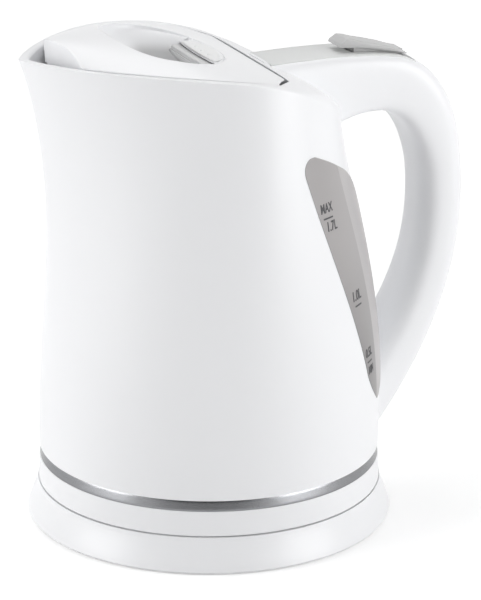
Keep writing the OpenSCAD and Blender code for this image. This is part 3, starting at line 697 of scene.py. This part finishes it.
BOW_X = -78.3
BOW_ROUND = 9.5
BOW_SPREAD = 10.0
WELL_X, WELL_Z = -22.8, RIM_Z + 4.5
WELL_L, WELL_W, WELL_D = 26.2, 41.0, 15.2
WELL_FLOOR_Z = 212
TAB_X = -10.9
TAB_TOP = WELL_Z - 9.4
REST_X = TAB_X + 4.2
TAB_DEPTH, TAB_HALF_W, NOSE_HALF_W = 5.3, 22, 5.9
LID_WALL_Z, LID_WALL_T, LID_GAP = 209.4, 1.8, 4.0
LID_REAR_X = 19.6
LID_RINGS = 44
LID_SKIN = 2.2
SLIDER_Z = 210.5
REST_HALF_W = 24.5
REST_BOW_R = 220
REST_SLOPE = 3


def bow_limit(y, bow=BOW_X):
    """Where the lid's blunt rounded bow lies at y."""
    return bow + BOW_ROUND * (1 - math.exp(-abs(y) / BOW_SPREAD))


def lid_point(a, inset, rear_inset, bow=BOW_X, reach=OPEN_FRONT, lip=False):
    """The lid's outline. The skin's lip reaches further into the rear corners."""
    x, y = open_point(a, inset, rear_inset, reach)
    if lip:
        cut = 0.8 * max(0.0, abs(y) - 45.5) - 0.25 * max(0.0, abs(y) - 50)
    else:
        cut = 0.9 * max(0.0, abs(y) - 42)
    return min(max(x, bow_limit(y, bow)), LID_REAR_X - cut - rear_inset), y


def lid_surface(x, y):
    """The height of the lid's crown, without the well."""
    crown = (CROWN - 0.5) * clamp01((HINGE_X - x) / 46) ** 1.2
    return rim_height(x) + crown * max(0.0, 1 - (y / max(1.0, open_width(x))) ** 2)


def soft_min(a, b, k):
    """The lower of two heights, blended where they differ by less than k."""
    h = clamp01(0.5 + 0.5 * (b - a) / k)
    return mix(b, a, h) - k * h * (1 - h)


def arc_x(y):
    """The bowed front edge of the rest."""
    return REST_X + REST_BOW_R - math.sqrt(REST_BOW_R**2 - y * y)


def rest_top(x):
    """The height of the thumb rest, which climbs a little to the rear."""
    return TAB_TOP + 1.3 + math.tan(math.radians(REST_SLOPE)) * (x - REST_X)


def lid_top(x, y):
    """The lid's upper face: its crown, the finger well and the thumb rest in the well."""
    z = lid_surface(x, y)
    q = 1 - ((x - WELL_X) / WELL_L) ** 2 - (y / WELL_W) ** 2
    if q <= 0:
        return soft_min(z, z - 22 * q, 1.2)
    floor = WELL_Z + (z - WELL_Z) * math.exp(-q / 0.05) - WELL_D * q**0.4
    rest = smooth((x - arc_x(y) + 1.2) / 2)
    floor = mix(floor, max(floor, rest_top(x)), rest)
    return soft_min(z, floor, 1.2)


def toward(x2, y2, f):
    """A point at share f of the way from the well's edge out to the lid's outline."""
    direction = math.atan2(y2 / WELL_W, (x2 - WELL_X) / WELL_L)
    x1, y1 = WELL_X + WELL_L * math.cos(direction), WELL_W * math.sin(direction)
    if f <= 1:
        return mix(WELL_X, x1, f), y1 * f
    return mix(x1, x2, f - 1), mix(y1, y2, f - 1)


def build_lid():
    """The lid's skin, in rings from the middle of the well to its edge and back below."""
    outline = [lid_point(a, 0.6, 1.0, lip=True) for a in ANGLES]
    foot = [lid_point(a, 1.8, 1.6, BOW_X + 0.8) for a in ANGLES]
    n = LID_RINGS
    shares = [k / n * (2 - k / n) for k in range(1, n + 1)]
    shares += [1 + smooth(k / n) for k in range(1, n)]
    rows = []
    for f in shares:
        row = [toward(x, y, f) for x, y in outline]
        rows.append([(x, y, lid_top(x, y)) for x, y in row])
    edge = [(x, y, lid_surface(x, y)) for x, y in outline]
    for near, drop in ((0.994, 0.04), (0.998, 0.14), (1.0, 0.4)):
        rows.append([(mix(WELL_X, x, near), y * near, z - drop) for x, y, z in edge])
    for f in (0.3, 0.6, 0.85, 1.0):
        rows.append([
            (
                mix(p[0], q[0], f),
                mix(p[1], q[1], f),
                mix(p[2] - 0.4, rim_height(q[0]) - LID_SKIN, f),
            )
            for p, q in zip(edge, foot)
        ])
    for f in (0.95, 0.85, 0.7, 0.55, 0.4, 0.25, 0.1):
        row = [(mix(WELL_X, x, f), y * f) for x, y in foot]
        rows.append([(x, y, lid_top(x, y) - LID_SKIN) for x, y in row])
    return new_object("lid_top_skin", *capped(rows))


def lid_wall(inset, rear_inset, bow, drop):
    """The lid's upright wall, from its foot to just under the skin."""
    low = [
        (*lid_point(a, inset, rear_inset, bow + 2, mouth_reach(LID_WALL_Z)), LID_WALL_Z)
        for a in ANGLES
    ]
    high = [lid_point(a, inset, rear_inset, bow) for a in ANGLES]
    high = [(x, y, lid_surface(x, y) - drop) for x, y in high]
    return [
        [tuple(mix(np.array(p), np.array(q), f)) for p, q in zip(low, high)]
        for f in (0, 0.25, 0.5, 0.75, 1.0)
    ]


STEP_EDGE = [(0, 0.35), (0.12, 0.12), (0.35, 0.02), (2, 0.02), (4, 0.02), (6.4, 0.02)]
REST_ROWS = 60


def build_rest():
    """The step behind the latch, with its bowed front edge."""
    rows = []
    for y in np.linspace(-REST_HALF_W, REST_HALF_W, REST_ROWS + 1):
        x1 = arc_x(y)
        line = [(x1 + d, rest_top(x1 + d) - sink) for d, sink in STEP_EDGE]
        rows.append([(x, y, z) for x, z in line] + [(x, y, TAB_TOP + 0.6) for x, z in line[::-1]])
    return new_object("thumb_rest_step", *capped(rows))


lid = build_lid()
inner_gap = LID_GAP + LID_WALL_T
outer_wall = lid_wall(LID_GAP, LID_GAP + 1, BOW_X, 0.8)
inner_wall = lid_wall(inner_gap, inner_gap + 1, BOW_X + 2.4, 0.8)
lid_skirt = new_object("lid_wall", *grid(outer_wall + inner_wall[::-1], loop=True))
combine(lid_skirt, block("behind", (11, -80, 190), (41, 80, HINGE_Z)), "DIFFERENCE")
door_w = NOSE_HALF_W + 0.4
nose_door = block("nose_door", (BOW_X - 1, -door_w, 210.4), (BOW_X + 13, door_w, 213.4))
combine(lid_skirt, nose_door, "DIFFERENCE")
combine(lid, lid_skirt, "UNION")
door_w = TAB_HALF_W + 0.3
tab_door = block("tab_door", (TAB_X - 0.3, -door_w, 205), (TAB_X + 9.1, door_w, 245))
combine(lid, tab_door, "DIFFERENCE")
combine(lid, build_rest(), "UNION")
lid.data.materials.clear()
lid.data.materials.append(WHITE)
lid.data.materials.append(WELL_PAINTED_SHADE)
# Up-facing faces inside the well take the painted shade.
for face in lid.data.polygons:
    x, y, z = face.center / MM
    in_well = ((x - WELL_X) / WELL_L) ** 2 + (y / WELL_W) ** 2 < 1
    if face.normal.z > 0.05 and z > WELL_FLOOR_Z and in_well:
        face.material_index = 1
soften(lid, 32)
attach(lid, "lid")
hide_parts("lid_shell")


SCOOP_R, SCOOP_ARC, RIB_DEPTH = 6, 29.9, 0.22


def build_tab():
    """The latch tab with its ribbed scoop, its foot and the long nose to the bow."""
    scoop = []
    for t in np.linspace(0, SCOOP_ARC, 31):
        r = SCOOP_R
        if 2 < t < 28:
            r -= RIB_DEPTH * max(0.0, math.sin(t * math.pi / 5))
        scoop.append((TAB_X - 5.2 + r * cosd(t), TAB_TOP - r * sind(t)))
    base = SLIDER_Z + 2.6
    rear = TAB_X + TAB_DEPTH
    outline = scoop + [(TAB_X, base), (rear, base), (rear, TAB_TOP)]
    piece = prism("latch_tab", outline, -TAB_HALF_W, TAB_HALF_W)
    bevel(piece, 0.3, 2, 60)
    foot = block("tab_foot", (TAB_X + 0.2, -6, SLIDER_Z), (TAB_X + 5.1, 6, base + 1))
    combine(piece, foot, "UNION")
    low = (bow_limit(6) + 1, -NOSE_HALF_W, SLIDER_Z)
    nose = block("tab_nose", low, (TAB_X + 1, NOSE_HALF_W, SLIDER_Z + 2.4))
    combine(piece, nose, "UNION")
    soften(piece)
    return piece


fitted(build_tab(), "lid_latch", "latch", TAB)

PLATE_HALF_W = 21.0
PLATE_EDGE = [
    (0, -0.3), (0, 0.1), (0.02, 0.24), (0.06, 0.3), (0.5, 0.3),
    (0.94, 0.3), (0.98, 0.22), (1, 0.1), (1, -0.3),
]
GRIP_DOT = [(0.9, 0.0), (0.9, 0.3), (0.82, 0.48), (0.6, 0.62), (0.3, 0.7)]


def build_rest_plate():
    """A thin plate on the thumb rest, with a rounded edge and three small grip dots."""
    rows = []
    for k in range(REST_ROWS + 1):
        y = PLATE_HALF_W * math.sin(math.pi / 2 * (-1 + 2 * k / REST_ROWS))
        x1 = arc_x(y) + 0.7
        edge = WELL_X + WELL_L * math.sqrt(1 - (y / WELL_W) ** 2) - 1.0
        taper = min(1.0, 3.2 * math.sqrt(max(0.0, 1 - abs(y) / (PLATE_HALF_W + 0.2))))
        width = max(0.2, (edge - x1) * taper)
        section = []
        for f, up in PLATE_EDGE:
            x = x1 + f * width
            section.append((x, y, rest_top(x) + up))
        rows.append(section)
    plate = new_object("rest_plate", *capped(rows))
    for y in (-8, 0, 8):
        x = arc_x(y) + 3.4
        dome = [
            [(x + r * cosd(i * 15), y + r * sind(i * 15), rest_top(x) + h) for i in range(24)]
            for r, h in GRIP_DOT
        ]
        combine(plate, new_object("grip_dot", *capped(dome)), "UNION")
    soften(plate, 40)
    return plate


fitted(build_rest_plate(), "lid_rest", "lid", REST)

# ---- Switch ---------------------------------------------------------------

PAD_LINE = [
    (61.4, 218.6), (62.2, 220), (65.4, 222), (68.5, 221.6), (73, 220.3), (79.3, 218.9),
    (85.5, 217.3), (92.5, 215), (95.8, 213.3), (95.4, 212.7), (91, 214), (76, 216.9),
    (62.2, 218.3),
]
WEB_LINE = [(71, 214.4), (71, 218), (92, 214.4), (90.4, 205.4), (85.4, 205.4), (78, 210.9)]
RIB_LINE = [(69.5, 215.2), (69.5, 219), (94, 215), (94, 212.6), (82, 214)]
lever = prism("switch_pad", PAD_LINE, -7, 7)
bevel(lever, 0.7, 3, 25)
combine(lever, prism("switch_web", WEB_LINE, -3.3, 3.3), "UNION")
combine(lever, prism("switch_rib", RIB_LINE, -5.2, 5.2), "UNION")
soften(lever, 40)
fitted(lever, "switch_lever", "lever", LEVER)

# ---- Trim ring ------------------------------------------------------------

BAND_Z, BAND_HALF = 31.0, 2.4
BAND_BACK_R = RING_R - 2.6


def build_ring():
    """The polished band round the foot, leaning in a little under the jug's edge."""
    section = []
    for k in range(17):
        u = -1 + k / 8
        section.append((RING_R - 0.6 - 0.5 * u - 0.1 * abs(u) ** 6, BAND_Z + BAND_HALF * u))
    section += [(BAND_BACK_R, BAND_Z + BAND_HALF), (BAND_BACK_R, BAND_Z - BAND_HALF)]
    rows = [[(r * cosd(a), r * sind(a), z) for r, z in section] for a in np.arange(0, 360, 1.5)]
    return new_object("steel_band", *grid(rows, loop=True), angle=50)


fitted(build_ring(), "trim_ring", "kettle", CHROME)

# ---- Finish of the pieces that keep their own solids ----------------------

FINISH = {
    "base_shell": WHITE,
    "base_bottom": WHITE_MATT,
    "foot_ring": RUBBER,
    "base_screws": STEEL,
    "base_socket": GREY,
    "base_contacts": BRASS,
    "cord_outlet": GREY,
    "kettle_connector": GREY,
    "connector_contacts": BRASS,
    "skirt": WHITE,
    "heater_plate": STEEL,
    "heater_seal": RUBBER,
    "heater_element": STEEL,
    "control_unit": DARK,
    "skirt_screws": STEEL,
    "filter_frame": PANEL,
    "filter_mesh": STEEL,
    "steam_switch": DARK,
    "switch_pin": STEEL,
    "hinge_pin": STEEL,
    "lid_inner": WHITE_MATT,
    "lid_seal": RUBBER,
}
for node, material in FINISH.items():
    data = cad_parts[node].data
    data.materials.clear()
    data.materials.append(material)

# ---- Floor, light and camera ----------------------------------------------

FLOOR_HALF = 12.0
FLOOR_NEAR, FLOOR_FAR = 0.38, 0.8
FADE_START, FADE_END = 0.25, 1.6


def stage_floor():
    """A pale floor that keeps the shadow and fades to white further out."""
    material = bpy.data.materials.new("floor_white")
    material.use_nodes = True
    tree = material.node_tree
    tree.nodes.clear()
    diffuse = add_node(tree, "BsdfDiffuse", {"Color": (0.8, 0.8, 0.8, 1)})
    place = add_node(tree, "TexCoord").outputs["Object"]
    reach = add_node(tree, "VectorMath", {0: place}, "LENGTH").outputs["Value"]
    fade = map_range(tree, reach, (FADE_START, FADE_END), (FLOOR_NEAR, FLOOR_FAR))
    path = add_node(tree, "LightPath")
    seen = path.outputs["Is Camera Ray"]
    for kind in ("Glossy", "Transmission"):
        ray = path.outputs[f"Is {kind} Ray"]
        seen = add_node(tree, "Math", {0: seen, 1: ray}, "MAXIMUM").outputs[0]
    strength = add_node(tree, "Math", {0: fade, 1: seen}, "MULTIPLY").outputs[0]
    glow = add_node(tree, "Emission", {"Strength": strength})
    both = add_node(tree, "AddShader", {0: diffuse.outputs[0], 1: glow.outputs[0]})
    add_node(tree, "OutputMaterial", {"Surface": both.outputs[0]})
    mesh = bpy.data.meshes.new("floor")
    r = FLOOR_HALF
    mesh.from_pydata([(-r, -r, 0), (r, -r, 0), (r, r, 0), (-r, r, 0)], [], [(0, 1, 2, 3)])
    mesh.materials.append(material)
    floor = bpy.data.objects.new("floor", mesh)
    bpy.context.scene.collection.objects.link(floor)


AMBIENT = 0.15
STUDIO_DIM = 0.12
STUDIO_WIDE, STUDIO_CORE = 0.72, 0.96
TO_CAMERA = (-0.358, -0.934, 0)


def set_world():
    """White behind the kettle, soft light on it, and a darker studio in front of it."""
    world = bpy.data.worlds.new("studio")
    bpy.context.scene.world = world
    world.use_nodes = True
    tree = world.node_tree
    back = tree.nodes["Background"]
    back.inputs["Color"].default_value = (1, 1, 1, 1)
    place = add_node(tree, "TexCoord").outputs["Generated"]
    ahead = add_node(tree, "VectorMath", {0: place, 1: TO_CAMERA}, "DOT_PRODUCT")
    limits = (STUDIO_WIDE, STUDIO_CORE)
    studio = map_range(tree, ahead.outputs["Value"], limits, (1.0, STUDIO_DIM))
    rays = add_node(tree, "LightPath").outputs
    inputs = {"Factor": rays["Is Glossy Ray"], "A": AMBIENT, "B": studio}
    gloss = add_node(tree, "Mix", inputs).outputs["Result"]
    inputs = {0: rays["Is Camera Ray"], 1: rays["Is Transmission Ray"]}
    seen = add_node(tree, "Math", inputs, "MAXIMUM").outputs[0]
    shown = add_node(tree, "Mix", {"Factor": seen, "A": gloss, "B": 1.0})
    tree.links.new(shown.outputs["Result"], back.inputs["Strength"])


SIDE_TARGET, SIDE_BOX = (0, 0, 0.12), (0.8, 0.9)
TOP_TARGET, TOP_BOX = (0, 0, 0.15), (1.2, 1.2)


def area_light(name, position, target, size, power):
    light = bpy.data.lights.new(name, "AREA")
    light.shape = "RECTANGLE"
    light.size, light.size_y = size
    light.energy = power
    obj = bpy.data.objects.new(name, light)
    obj.location = position
    obj.rotation_euler = (Vector(target) - Vector(position)).to_track_quat("-Z", "Y").to_euler()
    bpy.context.scene.collection.objects.link(obj)


stage_floor()
set_world()
area_light("left_softbox", (-1.25, 0.0, 0.5), SIDE_TARGET, SIDE_BOX, 11.4)
area_light("right_softbox", (0.84, -0.92, 0.48), SIDE_TARGET, SIDE_BOX, 11.6)
area_light("top_softbox", (0.1, 0.5, 1.35), TOP_TARGET, TOP_BOX, 9.4)

CAMERA_AT = (-0.4415, -1.1503, 0.51645)
CAMERA_TILT, CAMERA_TURN = 71.4, -21.0
camera_data = bpy.data.cameras.new("camera")
camera = bpy.data.objects.new("camera", camera_data)
camera.location = CAMERA_AT
camera.rotation_euler = (math.radians(CAMERA_TILT), 0, math.radians(CAMERA_TURN))
camera_data.lens = 167.34
camera_data.sensor_width = 36
camera_data.shift_x = 31.6 / 600
camera_data.clip_start = 0.05
camera_data.clip_end = 50
bpy.context.scene.collection.objects.link(camera)
bpy.context.scene.camera = camera

bpy.context.scene.view_settings.view_transform = "Standard"
